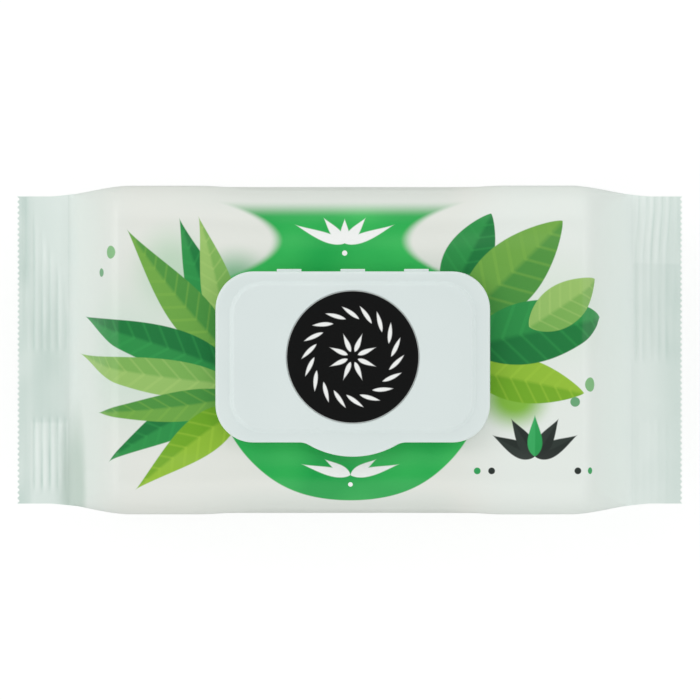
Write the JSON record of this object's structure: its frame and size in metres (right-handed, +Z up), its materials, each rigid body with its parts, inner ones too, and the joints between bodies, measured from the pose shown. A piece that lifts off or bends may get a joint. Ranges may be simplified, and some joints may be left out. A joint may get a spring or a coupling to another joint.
{
  "type": "wet wipes pack",
  "caption": "Sealed film pack of wet wipes lying flat, with crimped ends and a moulded flip lid that hinges open over a peel-off label.",
  "frame": {"origin": "on the underside, below the middle of the pack's bounding box", "axes": "+X along the pack from seal to seal, +Y towards the lid's hinge, +Z up through the lid"},
  "size_m": [0.2346, 0.1152, 0.0635],
  "materials": {
    "printed_film": "printed laminate film, satin gloss",
    "white_polypropylene": "moulded, smooth semi-gloss",
    "black_label_film": "plain black label film, semi-gloss",
    "peel_label_film": "white label film"
  },
  "bodies": {
    "pack": {"pouch": "printed_film", "lid_frame": "white_polypropylene", "opening_seal": "peel_label_film"},
    "lid": {"lid": "white_polypropylene", "lid_label": "black_label_film"}
  },
  "joints": [
    {"name": "lid_hinge", "type": "hinge", "parent": "pack", "child": "lid", "pos_m": [0.0008, 0.02805, 0.05945], "axis": [-1, 0, 0], "range_deg": [0, 165]}
  ]
}
